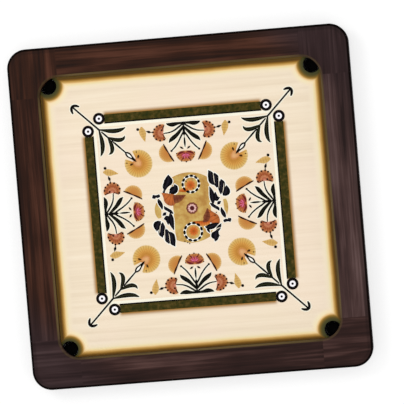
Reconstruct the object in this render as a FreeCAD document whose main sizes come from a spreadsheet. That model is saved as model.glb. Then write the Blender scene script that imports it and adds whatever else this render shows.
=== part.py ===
"""A carrom board: a dowelled wooden frame, a plywood playing panel, battens and four net pockets.

The board lies flat. +Z is up, +X is to the right and +Y is to the back, in millimetres. The origin is
the centre of the board on the plane that the frame rests on.
"""
import FreeCAD, Part
import math
import os

import Sketcher

V = FreeCAD.Vector
UP = V(0, 0, 1)

# name, value, note
DIMENSIONS = [
    ("board_side", 895.0, "outside of the frame, each way"),
    ("rail_width", 79.0, "width of the frame seen from above"),
    ("frame_height", 50.0, "height of the frame"),
    ("corner_radius", 50.8, "rounding of the frame's corners, outside and inside"),
    ("lip_chamfer", 5.5, "chamfer along the frame's inner top edge"),
    ("outer_round", 5.0, "rounding of the frame's outer top edge"),
    ("foot_round", 1.5, "rounding of the frame's outer bottom edge"),
    ("rabbet_width", 18.0, "how far the rabbet reaches under the lip"),
    ("surface_height", 28.0, "playing surface above the floor, which is the rabbet's roof"),
    ("panel_gap", 1.0, "room for the panel to move in the rabbet, each side"),
    ("panel_thickness", 12.0, "plywood of the playing panel"),
    ("pocket_radius", 22.25, "radius of a pocket hole"),
    ("batten_width", 40.0, "width of a batten"),
    ("batten_thickness", 15.0, "thickness of a batten"),
    ("dowel_radius", 5.0, "radius of a frame dowel"),
    ("dowel_depth", 30.0, "how deep a dowel goes into each piece"),
    ("dowel_height", 25.0, "height of the dowels' axes above the floor"),
    ("dowel_first", 31.0, "inner dowel's axis from the playing side of the rail"),
    ("dowel_second", 61.0, "outer dowel's axis from the playing side of the rail"),
    ("screw_shank_radius", 1.9, "radius of a wood screw's shank"),
    ("screw_head_radius", 3.8, "radius of a wood screw's head"),
    ("screw_length", 24.0, "length of a wood screw, head included"),
    ("screw_tip", 5.0, "length of a wood screw's point"),
    ("slot_width", 1.1, "width of a bar of the cross recess in a screw's head"),
    ("slot_length", 4.4, "length of a bar of the cross recess"),
    ("slot_depth", 1.3, "depth of the cross recess"),
    ("edge_screw_inset", 9.5, "panel screws from the playing side of the rail, under the lip"),
    ("edge_screw_near", 90.0, "nearer panel screws from the middle of a side"),
    ("edge_screw_far", 270.0, "farther panel screws from the middle of a side"),
    ("batten_screw_near", 120.0, "nearer batten screws from the board's centre"),
    ("batten_screw_far", 300.0, "farther batten screws from the board's centre"),
    ("ring_inner_radius", 25.5, "inside of a pocket ring"),
    ("ring_outer_radius", 32.0, "outside of a pocket ring"),
    ("ring_thickness", 2.5, "thickness of a pocket ring"),
    ("net_wall", 1.4, "thickness of a net's wall and of its clamped mouth"),
    ("net_neck_radius", 25.0, "outside of a net where it passes through its ring"),
    ("net_neck_drop", 1.7, "how far the neck goes on below the ring"),
    ("net_belly_round", 5.0, "radius of the belly's section"),
    ("net_clearance", 1.0, "height of a net's lowest point above the floor"),
    ("tack_circle", 28.75, "radius of the circle of tacks round a pocket"),
    ("tack_shank_radius", 0.8, "radius of a tack's shank"),
    ("tack_head_radius", 2.4, "radius of a tack's head"),
    ("tack_head_height", 1.2, "height of a tack's domed head"),
    ("tack_length", 10.0, "length of a tack's shank"),
    ("cut_margin", 1.0, "how far a cutting outline runs past the edge of its piece"),
]

# name, formula, note: sizes that follow from the driving dimensions
DERIVED = [
    ("half_board", "=board_side / 2", "centre to the outside"),
    ("half_opening", "=half_board - rail_width", "centre to the playing side of a rail"),
    ("block_reach", "=half_opening - corner_radius", "centre to the end of a corner block"),
    ("rail_length", "=2 * block_reach", "length of a rail between the corner blocks"),
    ("half_panel", "=half_opening + rabbet_width - panel_gap", "centre to the panel's edge"),
    ("panel_bottom", "=surface_height - panel_thickness", "underside of the panel"),
    ("batten_bottom", "=panel_bottom - batten_thickness", "underside of the battens"),
    ("pocket_offset", "=half_opening - pocket_radius", "centre to a pocket's axis, each way"),
    ("ring_bottom", "=panel_bottom - net_wall - ring_thickness", "underside of a pocket ring"),
    ("edge_screw_line", "=half_opening + edge_screw_inset", "centre to the line of panel screws"),
]

TACKS_PER_POCKET = 6
SIDES = ["back", "left", "front", "right"]
CORNERS = ["back_right", "back_left", "front_left", "front_right"]
FULL_TURN = 360.0
QUARTER = FULL_TURN / 4
COUNTERSINK_ANGLE = 90.0
TINY = 0.01


class Board:
    """The document, its spreadsheet and the sub-parts that are written out."""

    def __init__(self):
        self.doc = FreeCAD.newDocument("carrom_board")
        self.sheet = self.doc.addObject("Spreadsheet::Sheet", "Dimensions")
        self.sheet.Label = "dimensions"
        for row, (name, value, note) in enumerate(DIMENSIONS + DERIVED, start=1):
            self.sheet.set("A%d" % row, name)
            self.sheet.set("B%d" % row, str(value))
            self.sheet.set("C%d" % row, note)
            self.sheet.setAlias("B%d" % row, name)
        self.doc.recompute()
        self.subparts = []

    def size(self, name):
        return float(self.sheet.get(name))

    def keep(self, piece, label):
        piece.Label = label
        self.subparts.append(piece)
        return piece


def bind(thing, **formulas):
    """Bind properties to formulas on the spreadsheet's aliases; '__' stands for a dot."""
    for name, formula in formulas.items():
        thing.setExpression(name.replace("__", "."), sheet_names(formula))


def sheet_names(formula):
    """Put the spreadsheet's name before each alias in a formula."""
    words = []
    for word in formula.replace("(", "( ").replace(")", " )").split():
        is_alias = any(word == name for name, _, _ in DIMENSIONS + DERIVED)
        words.append("Dimensions." + word if is_alias else word)
    return " ".join(words)


def place(piece, x="0", y="0", z="0", turn=0.0):
    """Turn a piece about Z and move it; the place is bound to the spreadsheet."""
    piece.Placement = FreeCAD.Placement(V(0, 0, 0), FreeCAD.Rotation(UP, turn))
    bind(piece, Placement__Base__x=x, Placement__Base__y=y, Placement__Base__z=z)


# ---------------------------------------------------------------- sketches and features

def make_body(board, name):
    return board.doc.addObject("PartDesign::Body", name)


def origin_feature(body, role):
    return next(item for item in body.Origin.OriginFeatures if item.Role == role)


def make_sketch(body, name, plane="XY_Plane", offset="0", reverse=False):
    """A sketch on one of the body's own origin planes, lifted off it by a formula."""
    sketch = body.newObject("Sketcher::SketchObject", name)
    sketch.AttachmentSupport = [(origin_feature(body, plane), "")]
    sketch.MapMode = "FlatFace"
    sketch.MapReversed = reverse
    bind(sketch, AttachmentOffset__Base__z=offset)
    return sketch


def outline(sketch, corners, rounds=None):
    """A closed outline through corners given as (x, y) formulas.

    rounds maps the number of a side to the radius of the arc that replaces it. A minus in front puts
    the arc's centre on the right of the direction of travel, otherwise it is on the left.
    """
    rounds = rounds or {}
    sheet = sketch.Document.getObject("Dimensions")
    places = [V(evaluate(sheet, x), evaluate(sheet, y), 0) for x, y in corners]
    count = len(corners)
    starts, ends = [], []
    for side in range(count):
        start, end = places[side], places[(side + 1) % count]
        if side not in rounds:
            sketch.addGeometry(Part.LineSegment(start, end), False)
            starts.append(1)
            ends.append(2)
            continue
        radius = rounds[side]
        to_left = not radius.startswith("-")
        size = evaluate(sheet, radius.lstrip("-"))
        sketch.addGeometry(Part.Arc(start, arc_middle(start, end, size, to_left), end), False)
        # a sketch keeps every arc anticlockwise
        starts.append(1 if to_left else 2)
        ends.append(2 if to_left else 1)
    for side in range(count):
        following = (side + 1) % count
        sketch.addConstraint(Sketcher.Constraint("Coincident", side, ends[side], following,
                                                 starts[following]))
    for side, corner in enumerate(corners):
        fix_point(sketch, side, starts[side], places[side], corner)
    for side, radius in rounds.items():
        formula = radius.lstrip("-")
        index = sketch.addConstraint(Sketcher.Constraint("Radius", side, evaluate(sheet, formula)))
        bind_constraint(sketch, index, formula)


def arc_middle(start, end, radius, centre_on_left):
    """The middle of the shorter arc of a radius from start to end."""
    chord = end - start
    left = V(-chord.y, chord.x, 0).normalize()
    rise = radius - math.sqrt(radius ** 2 - (chord.Length / 2) ** 2)
    return (start + end) / 2 + left * (-rise if centre_on_left else rise)


def evaluate(sheet, formula):
    """The number that a formula gives now."""
    number = sheet.evalExpression(sheet_names(formula))
    return float(getattr(number, "Value", number))


def fix_point(sketch, geometry, point, value, formulas):
    """Hold a point of the sketch at (x, y) from its origin."""
    for kind, number, formula in zip(("DistanceX", "DistanceY"), (value.x, value.y), formulas):
        index = sketch.addConstraint(Sketcher.Constraint(kind, -1, 1, geometry, point, number))
        bind_constraint(sketch, index, formula)


def bind_constraint(sketch, index, formula):
    sketch.setExpression("Constraints[%d]" % index, sheet_names(formula))


def circle(sketch, x, y, radius):
    """A circle whose centre and radius follow formulas."""
    sheet = sketch.Document.getObject("Dimensions")
    centre = V(evaluate(sheet, x), evaluate(sheet, y), 0)
    index = sketch.addGeometry(Part.Circle(centre, UP, evaluate(sheet, radius)), False)
    fix_point(sketch, index, 3, centre, (x, y))
    size = sketch.addConstraint(Sketcher.Constraint("Radius", index, evaluate(sheet, radius)))
    bind_constraint(sketch, size, radius)


def pad(body, sketch, length, symmetric=False):
    feature = body.newObject("PartDesign::Pad", sketch.Name + "_pad")
    feature.Profile = sketch
    feature.SideType = "Symmetric" if symmetric else "One side"
    bind(feature, Length=length)
    sketch.Visibility = False
    return feature


def cut(body, sketch, depth, away=True):
    """Cut the sketch's shape along its normal (away) or against it; it has to remove material."""
    body.Document.recompute()
    before = body.Shape.Volume
    feature = body.newObject("PartDesign::Pocket", sketch.Name + "_cut")
    feature.Profile = sketch
    feature.Reversed = away
    bind(feature, Length=depth)
    body.Document.recompute()
    if body.Shape.Volume > before - TINY:
        raise RuntimeError(feature.Name + " removes nothing")
    return feature


def revolve(body, sketch, axis="V_Axis"):
    feature = body.newObject("PartDesign::Revolution", sketch.Name + "_turn")
    feature.Profile = sketch
    feature.ReferenceAxis = (sketch, [axis])
    feature.Angle = FULL_TURN
    return feature


def turn_pattern(body, features, count):
    """Repeat features round the body's own Z axis."""
    pattern = body.newObject("PartDesign::PolarPattern", body.Name + "_pattern")
    pattern.Originals = features
    pattern.Axis = (origin_feature(body, "Z_Axis"), [""])
    pattern.Angle = FULL_TURN
    pattern.Occurrences = count
    body.Tip = pattern
    return pattern


def countersunk_holes(body, sketch, depth):
    """Screw holes with a countersink at the sketch's plane."""
    body.Document.recompute()
    before = body.Shape.Volume
    hole = body.newObject("PartDesign::Hole", sketch.Name + "_holes")
    hole.Profile = sketch
    body.Document.recompute()
    hole.DepthType = "Dimension"
    hole.DrillPoint = "Flat"
    hole.HoleCutType = "Countersink"
    hole.HoleCutCountersinkAngle = COUNTERSINK_ANGLE
    bind(hole, Diameter="2 * screw_shank_radius", HoleCutDiameter="2 * screw_head_radius", Depth=depth)
    body.Document.recompute()
    if body.Shape.Volume > before - TINY:
        raise RuntimeError(hole.Name + " removes nothing")
    return hole


def edges_where(shape, test):
    return ["Edge%d" % index for index, edge in enumerate(shape.Edges, start=1) if test(edge)]


# ---------------------------------------------------------------- the frame

def rail_section(body):
    """A rail's section: y runs outwards from the playing side, z up. The rabbet holds the panel."""
    sketch = make_sketch(body, body.Name + "_section", "YZ_Plane")
    outline(sketch, [
        ("0", "surface_height"),
        ("rabbet_width", "surface_height"),
        ("rabbet_width", "0"),
        ("rail_width", "0"),
        ("rail_width", "frame_height"),
        ("lip_chamfer", "frame_height"),
        ("0", "frame_height - lip_chamfer"),
    ])
    return sketch


def round_outer_edges(body, feature, is_outer):
    """Round the frame's outer edges, at the top and at the foot."""
    for name, height, radius in (("top", "frame_height", "outer_round"), ("foot", "0", "foot_round")):
        body.Document.recompute()
        level = evaluate(body.Document.getObject("Dimensions"), height)
        chosen = edges_where(feature.Shape, lambda edge: flat_at(edge, level) and is_outer(edge))
        fillet = body.newObject("PartDesign::Fillet", body.Name + "_" + name)
        fillet.Base = (feature, chosen)
        bind(fillet, Radius=radius)
        feature = fillet
    return feature


def flat_at(edge, level):
    box = edge.BoundBox
    return abs(box.ZMin - level) < TINY and abs(box.ZMax - level) < TINY


def make_rail(board, side, turn):
    """One straight rail, dowelled at both ends, with pilot holes for the panel screws."""
    body = make_body(board, "rail_" + side)
    rail = pad(body, rail_section(body), "rail_length", symmetric=True)
    width = board.size("rail_width")
    rounded = round_outer_edges(body, rail, lambda edge: abs(edge.CenterOfMass.y - width) < TINY)
    body.Tip = rounded

    sockets = make_sketch(body, body.Name + "_dowels", "YZ_Plane", "rail_length / 2")
    circle(sockets, "dowel_first", "dowel_height", "dowel_radius")
    circle(sockets, "dowel_second", "dowel_height", "dowel_radius")
    near_end = cut(body, sockets, "dowel_depth", away=False)
    mirror = body.newObject("PartDesign::Mirrored", body.Name + "_far_end")
    mirror.Originals = [near_end]
    mirror.MirrorPlane = (origin_feature(body, "YZ_Plane"), [""])
    body.Tip = mirror

    pilots = make_sketch(body, body.Name + "_pilots")
    for x in both_ways("edge_screw_near", "edge_screw_far"):
        circle(pilots, x, "edge_screw_inset", "screw_shank_radius")
    cut(body, pilots, "panel_bottom + screw_length")

    across = {"back": ("0", "half_opening"), "front": ("0", "0 - half_opening"),
              "left": ("0 - half_opening", "0"), "right": ("half_opening", "0")}
    place(body, *across[side], turn=turn)
    board.keep(body, "rail_" + side)


def both_ways(*distances):
    """The formulas of these distances to the right, then of the same ones to the left."""
    return [*distances, *("0 - " + distance for distance in distances)]


def make_corner_block(board, corner, turn):
    """An L-shaped corner, round outside and inside. Its own origin is the inside round's centre."""
    body = make_body(board, "corner_block_" + corner)
    inner = board.size("corner_radius")
    width = board.size("rail_width")
    outer = inner + width
    reach = "rail_width + corner_radius"
    shape = make_sketch(body, body.Name + "_outline")
    outline(shape, [("corner_radius", "0"), (reach, "0"), (reach, "rail_width"),
                    ("rail_width", reach), ("0", reach), ("0", "corner_radius")],
            {2: "corner_radius", 5: "-corner_radius"})
    pad(body, shape, "frame_height")

    rabbet = make_sketch(body, body.Name + "_rabbet")
    seat = "corner_radius + rabbet_width"
    past = "0 - cut_margin"
    outline(rabbet, [(past, past), (seat, past), (seat, seat), (past, seat)])
    rabbet_cut = cut(body, rabbet, "surface_height")

    height = board.size("frame_height")
    board.doc.recompute()
    inside = edges_where(rabbet_cut.Shape, lambda edge: flat_at(edge, height) and on_round(edge, inner))
    chamfer = body.newObject("PartDesign::Chamfer", body.Name + "_lip")
    chamfer.Base = (rabbet_cut, inside)
    bind(chamfer, Size="lip_chamfer")
    rounded = round_outer_edges(body, chamfer, lambda edge: outside_block(edge, outer, width, inner))
    body.Tip = rounded

    for plane in ("YZ_Plane", "XZ_Plane"):
        sockets = make_sketch(body, body.Name + "_dowels_" + plane[:2], plane)
        for inset in ("dowel_first", "dowel_second"):
            circle(sockets, "corner_radius + " + inset, "dowel_height", "dowel_radius")
        cut(body, sockets, "dowel_depth", away=(plane == "YZ_Plane"))

    place(body, *corner_point(corner, "block_reach"), turn=turn)
    board.keep(body, "corner_block_" + corner)


def on_round(edge, radius):
    """Whether an edge is an arc of this radius about the block's own origin."""
    curve = edge.Curve
    return isinstance(curve, Part.Circle) and abs(curve.Radius - radius) < TINY and curve.Center.x < TINY


def outside_block(edge, outer, width, radius):
    """Whether an edge lies on a corner block's two outer sides or on the round between them."""
    middle = edge.valueAt((edge.FirstParameter + edge.LastParameter) / 2)
    on_side = abs(middle.x - outer) < TINY or abs(middle.y - outer) < TINY
    away = math.hypot(middle.x - width, middle.y - width)
    return on_side or (abs(away - radius) < TINY and min(middle.x, middle.y) > width)


def corner_point(corner, offset):
    """The (x, y) formulas of a point on a corner's diagonal."""
    x = offset if corner.endswith("right") else "0 - " + offset
    y = offset if corner.startswith("back") else "0 - " + offset
    return x, y


def make_dowels(board, corner, turn):
    """The four dowels that join one corner block to its two rails, half in each piece."""
    dowels = []
    for leg, angle in (("side", 0.0), ("end", QUARTER)):
        for inset in ("dowel_first", "dowel_second"):
            name = "_".join(("dowel", corner, leg, inset.removeprefix("dowel_")))
            dowel = board.doc.addObject("Part::Cylinder", name)
            bind(dowel, Radius="dowel_radius", Height="2 * dowel_depth")
            away = "corner_radius + " + inset
            if leg == "side":
                dowel.Placement = FreeCAD.Placement(V(), FreeCAD.Rotation(V(0, 1, 0), QUARTER))
                bind(dowel, Placement__Base__x="0 - dowel_depth", Placement__Base__y=away)
            else:
                dowel.Placement = FreeCAD.Placement(V(), FreeCAD.Rotation(V(1, 0, 0), -QUARTER))
                bind(dowel, Placement__Base__x=away, Placement__Base__y="0 - dowel_depth")
            bind(dowel, Placement__Base__z="dowel_height")
            dowels.append(dowel)
    group = board.doc.addObject("Part::Compound", "dowels_" + corner)
    group.Links = dowels
    place(group, *corner_point(corner, "block_reach"), turn=turn)
    board.keep(group, "dowels_" + corner)


# ---------------------------------------------------------------- the playing panel and battens

def make_panel(board):
    """The plywood panel: four pocket holes, tack holes round them and holes for every screw."""
    body = make_body(board, "playing_panel")
    shape = make_sketch(body, "panel_outline", offset="panel_bottom")
    low, high = "0 - half_panel", "half_panel"
    outline(shape, [(low, low), (high, low), (high, high), (low, high)])
    pad(body, shape, "panel_thickness")

    pocket = make_sketch(body, "panel_pocket", offset="panel_bottom")
    circle(pocket, "pocket_offset", "pocket_offset", "pocket_radius")
    pocket_cut = cut(body, pocket, "panel_thickness")

    tacks = make_sketch(body, "panel_tacks", offset="panel_bottom")
    for x, y in tack_points("pocket_offset"):
        circle(tacks, x, y, "tack_shank_radius")
    tack_cut = cut(body, tacks, "tack_length - net_wall - ring_thickness")

    edge = make_sketch(body, "panel_edge_screws", offset="0 - panel_bottom", reverse=True)
    for x in both_ways("edge_screw_near", "edge_screw_far"):
        circle(edge, x, "0 - edge_screw_line", "screw_shank_radius")
    edge_holes = countersunk_holes(body, edge, "panel_thickness")

    pilots = make_sketch(body, "panel_batten_pilots", offset="panel_bottom")
    for x in ("batten_screw_near", "batten_screw_far"):
        circle(pilots, x, "0", "screw_shank_radius")
    pilot_cut = cut(body, pilots, "screw_length - batten_thickness")

    turn_pattern(body, [pocket_cut, tack_cut, edge_holes, pilot_cut], len(SIDES))
    place(body)
    board.keep(body, "playing_panel")


def tack_points(centre):
    """The (x, y) formulas of the tacks round a pocket whose axis is at (centre, centre)."""
    points = []
    for index in range(TACKS_PER_POCKET):
        angle = FULL_TURN / TACKS_PER_POCKET * (index + 0.5)
        along = "%.6f * tack_circle" % math.cos(math.radians(angle))
        across = "%.6f * tack_circle" % math.sin(math.radians(angle))
        points.append((centre + " + " + along, centre + " + " + across))
    return points


def make_batten(board, name, turn, notch_from, notch_depth):
    """A batten under the panel. Its own length runs along X; the notch is its half of the lap joint."""
    body = make_body(board, name)
    shape = make_sketch(body, name + "_outline", offset="batten_bottom")
    across = "batten_width / 2"
    outline(shape, [("0 - half_panel", "0 - " + across), ("half_panel", "0 - " + across),
                    ("half_panel", across), ("0 - half_panel", across)])
    pad(body, shape, "batten_thickness")
    notch = make_sketch(body, name + "_notch", offset=notch_from)
    past = across + " + cut_margin"
    outline(notch, [("0 - " + across, "0 - (" + past + ")"), (across, "0 - (" + past + ")"),
                    (across, past), ("0 - " + across, past)])
    cut(body, notch, notch_depth)
    holes = make_sketch(body, name + "_screw_places", offset="0 - batten_bottom", reverse=True)
    for x in both_ways("batten_screw_near", "batten_screw_far"):
        circle(holes, x, "0", "screw_shank_radius")
    countersunk_holes(body, holes, "batten_thickness")
    place(body, turn=turn)
    board.keep(body, name)


# ---------------------------------------------------------------- fasteners

def make_screw(board):
    """A countersunk wood screw, head down, its head's face at z = 0 and its point at the top."""
    body = make_body(board, "wood_screw")
    profile = make_sketch(body, "screw_profile", "XZ_Plane")
    outline(profile, [("0", "0"), ("screw_head_radius", "0"),
                      ("screw_shank_radius", "screw_head_radius - screw_shank_radius"),
                      ("screw_shank_radius", "screw_length - screw_tip"), ("0", "screw_length")])
    revolve(body, profile)
    for name, wide, deep in (("one", "slot_length", "slot_width"), ("two", "slot_width", "slot_length")):
        bar = make_sketch(body, "screw_recess_" + name)
        x, y = wide + " / 2", deep + " / 2"
        outline(bar, [("0 - " + x, "0 - " + y), (x, "0 - " + y), (x, y), ("0 - " + x, y)])
        cut(body, bar, "slot_depth")
    return body


def make_tack(board):
    """A short tack, head down: the head is a dome below z = 0, the shank stands above it."""
    body = make_body(board, "tack")
    profile = make_sketch(body, "tack_profile", "XZ_Plane")
    dome = "(tack_head_radius ^ 2 + tack_head_height ^ 2) / (2 * tack_head_height)"
    outline(profile, [("0", "0 - tack_head_height"), ("tack_head_radius", "0"), ("tack_shank_radius", "0"),
                      ("tack_shank_radius", "tack_length - 2 * tack_shank_radius"), ("0", "tack_length")],
            {0: dome})
    revolve(body, profile)
    return body


def fastener_group(board, fastener, name, points, height, turn=0.0, centre=("0", "0")):
    """Copies of one fastener at (x, y) formulas, kept as one sub-part of separate solids."""
    copies = []
    for index, (x, y) in enumerate(points, start=1):
        copy = board.doc.addObject("App::Link", "%s_%d" % (name, index))
        copy.LinkedObject = fastener
        copy.LinkTransform = False
        bind(copy, Placement__Base__x=x, Placement__Base__y=y, Placement__Base__z=height)
        copies.append(copy)
    group = board.doc.addObject("Part::Compound", name)
    group.Links = copies
    place(group, *centre, turn=turn)
    board.keep(group, name)


def make_screws(board):
    """The panel's edge screws, a node for each side, and the battens' screws, a node for each batten."""
    screw = make_screw(board)
    points = [(x, "edge_screw_line") for x in both_ways("edge_screw_near", "edge_screw_far")]
    for index, side in enumerate(SIDES):
        fastener_group(board, screw, "panel_screws_" + side, points, "panel_bottom", turn=QUARTER * index)
    points = [(x, "0") for x in both_ways("batten_screw_near", "batten_screw_far")]
    for name, turn in (("batten_screws_long", 0.0), ("batten_screws_cross", QUARTER)):
        fastener_group(board, screw, name, points, "batten_bottom", turn=turn)


# ---------------------------------------------------------------- the pockets

def make_pocket_ring(board, corner, turn):
    """The flat ring that clamps a net's mouth against the panel."""
    body = make_body(board, "pocket_ring_" + corner)
    shape = make_sketch(body, body.Name + "_outline")
    circle(shape, "0", "0", "ring_outer_radius")
    circle(shape, "0", "0", "ring_inner_radius")
    pad(body, shape, "ring_thickness")
    holes = make_sketch(body, body.Name + "_tack_holes")
    for x, y in tack_points("0"):
        circle(holes, x, y, "tack_shank_radius")
    cut(body, holes, "ring_thickness")
    place(body, *corner_point(corner, "pocket_offset"), z="ring_bottom", turn=turn)
    board.keep(body, body.Name)


def make_pocket_net(board, corner, turn):
    """A net pouch as a thin open bowl: a flat mouth under the panel, a neck, a belly and a flat base."""
    body = make_body(board, "pocket_net_" + corner)
    profile = make_sketch(body, body.Name + "_profile", "XZ_Plane")
    neck_end = "ring_bottom - net_neck_drop"
    inside = "net_neck_radius - net_wall"
    base_top = "net_clearance + net_wall"
    outline(profile, [
        ("ring_outer_radius", "panel_bottom"),
        (inside, "panel_bottom"),
        (inside, neck_end),
        (inside, base_top),
        ("0", base_top),
        ("0", "net_clearance"),
        ("net_neck_radius", "net_clearance"),
        ("net_neck_radius", neck_end),
        ("net_neck_radius", "panel_bottom - net_wall"),
        ("ring_outer_radius", "panel_bottom - net_wall"),
    ], {2: "-net_belly_round - net_wall / 2", 6: "net_belly_round"})
    revolve(body, profile)
    holes = make_sketch(body, body.Name + "_tack_holes", offset="panel_bottom - net_wall")
    for x, y in tack_points("0"):
        circle(holes, x, y, "tack_shank_radius")
    cut(body, holes, "net_wall")
    place(body, *corner_point(corner, "pocket_offset"), turn=turn)
    board.keep(body, body.Name)


def make_pockets(board):
    tack = make_tack(board)
    for index, corner in enumerate(CORNERS):
        turn = QUARTER * index
        make_pocket_ring(board, corner, turn)
        make_pocket_net(board, corner, turn)
        fastener_group(board, tack, "pocket_tacks_" + corner, tack_points("0"), "ring_bottom",
                       turn=turn, centre=corner_point(corner, "pocket_offset"))


# ---------------------------------------------------------------- building and writing

def build():
    board = Board()
    for index, side in enumerate(SIDES):
        make_rail(board, side, QUARTER * index)
    for index, corner in enumerate(CORNERS):
        make_corner_block(board, corner, QUARTER * index)
        make_dowels(board, corner, QUARTER * index)
    make_panel(board)
    half_batten = "batten_thickness / 2"
    make_batten(board, "batten_long", 0.0, "batten_bottom + " + half_batten, half_batten)
    make_batten(board, "batten_cross", QUARTER, "batten_bottom", half_batten)
    make_screws(board)
    make_pockets(board)
    board.doc.recompute()
    return board


def check(board):
    """Every object has to be sound before anything is written."""
    for item in board.doc.Objects:
        if "Invalid" in item.State or "Error" in item.State:
            raise RuntimeError("%s: %s" % (item.Name, item.State))
    for piece in board.subparts:
        if piece.Shape.isNull() or not piece.Shape.isValid() or piece.Shape.Volume < TINY:
            raise RuntimeError(piece.Label + " has no sound shape")


def write(board):
    os.makedirs("parts", exist_ok=True)
    for piece in board.subparts:
        piece.Shape.exportStep("parts/%s.step" % piece.Label)
        print("%-28s %d solid(s) %12.1f mm3" % (piece.Label, len(piece.Shape.Solids), piece.Shape.Volume))


carrom_board = build()
check(carrom_board)
write(carrom_board)
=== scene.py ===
"""The looks of the carrom board: stained frame, printed panel, knotted nets, floor, light and camera."""

import math
import random

import bmesh
import bpy
from mathutils import Matrix, Vector


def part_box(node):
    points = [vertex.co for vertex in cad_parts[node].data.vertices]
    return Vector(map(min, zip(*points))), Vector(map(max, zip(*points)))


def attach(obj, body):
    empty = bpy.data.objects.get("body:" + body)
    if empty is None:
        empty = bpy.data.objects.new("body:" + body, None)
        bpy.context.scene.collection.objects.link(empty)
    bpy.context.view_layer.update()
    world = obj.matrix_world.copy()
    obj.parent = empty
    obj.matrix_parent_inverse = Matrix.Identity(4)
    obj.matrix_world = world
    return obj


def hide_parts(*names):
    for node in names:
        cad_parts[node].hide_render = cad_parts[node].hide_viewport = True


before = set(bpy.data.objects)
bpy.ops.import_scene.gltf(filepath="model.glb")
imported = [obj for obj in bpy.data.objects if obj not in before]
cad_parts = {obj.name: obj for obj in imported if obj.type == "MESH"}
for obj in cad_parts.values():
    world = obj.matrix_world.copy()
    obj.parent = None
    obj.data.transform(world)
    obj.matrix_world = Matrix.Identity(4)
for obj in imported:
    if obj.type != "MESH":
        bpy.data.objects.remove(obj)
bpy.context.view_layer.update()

MM = 0.001
CORNERS = {"back_right": (1, 1), "back_left": (-1, 1), "front_left": (-1, -1), "front_right": (1, -1)}

# Sizes read from the frame, in millimetres
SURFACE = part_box("playing_panel")[1].z / MM
PANEL_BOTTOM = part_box("playing_panel")[0].z / MM
HALF_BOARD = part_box("rail_back")[1].y / MM
HALF_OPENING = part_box("rail_back")[0].y / MM
FRAME_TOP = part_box("rail_back")[1].z / MM
BLOCK_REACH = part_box("rail_back")[1].x / MM
CORNER_ROUND = HALF_OPENING - BLOCK_REACH
RING_LOW, RING_HIGH = (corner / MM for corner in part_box("pocket_ring_back_right"))
POCKET = (RING_LOW.x + RING_HIGH.x) / 2
POCKET_RADIUS = HALF_OPENING - POCKET
LIP = 5.5
PLY_PAIR = 2.4


# ---------------------------------------------------------------- colour and node helpers

def srgb(red, green, blue):
    """A colour of 0 to 255 as Blender's linear numbers."""
    def linear(value):
        value = value / 255
        return value / 12.92 if value <= 0.04045 else ((value + 0.055) / 1.055) ** 2.4
    return (linear(red), linear(green), linear(blue), 1.0)


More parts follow.
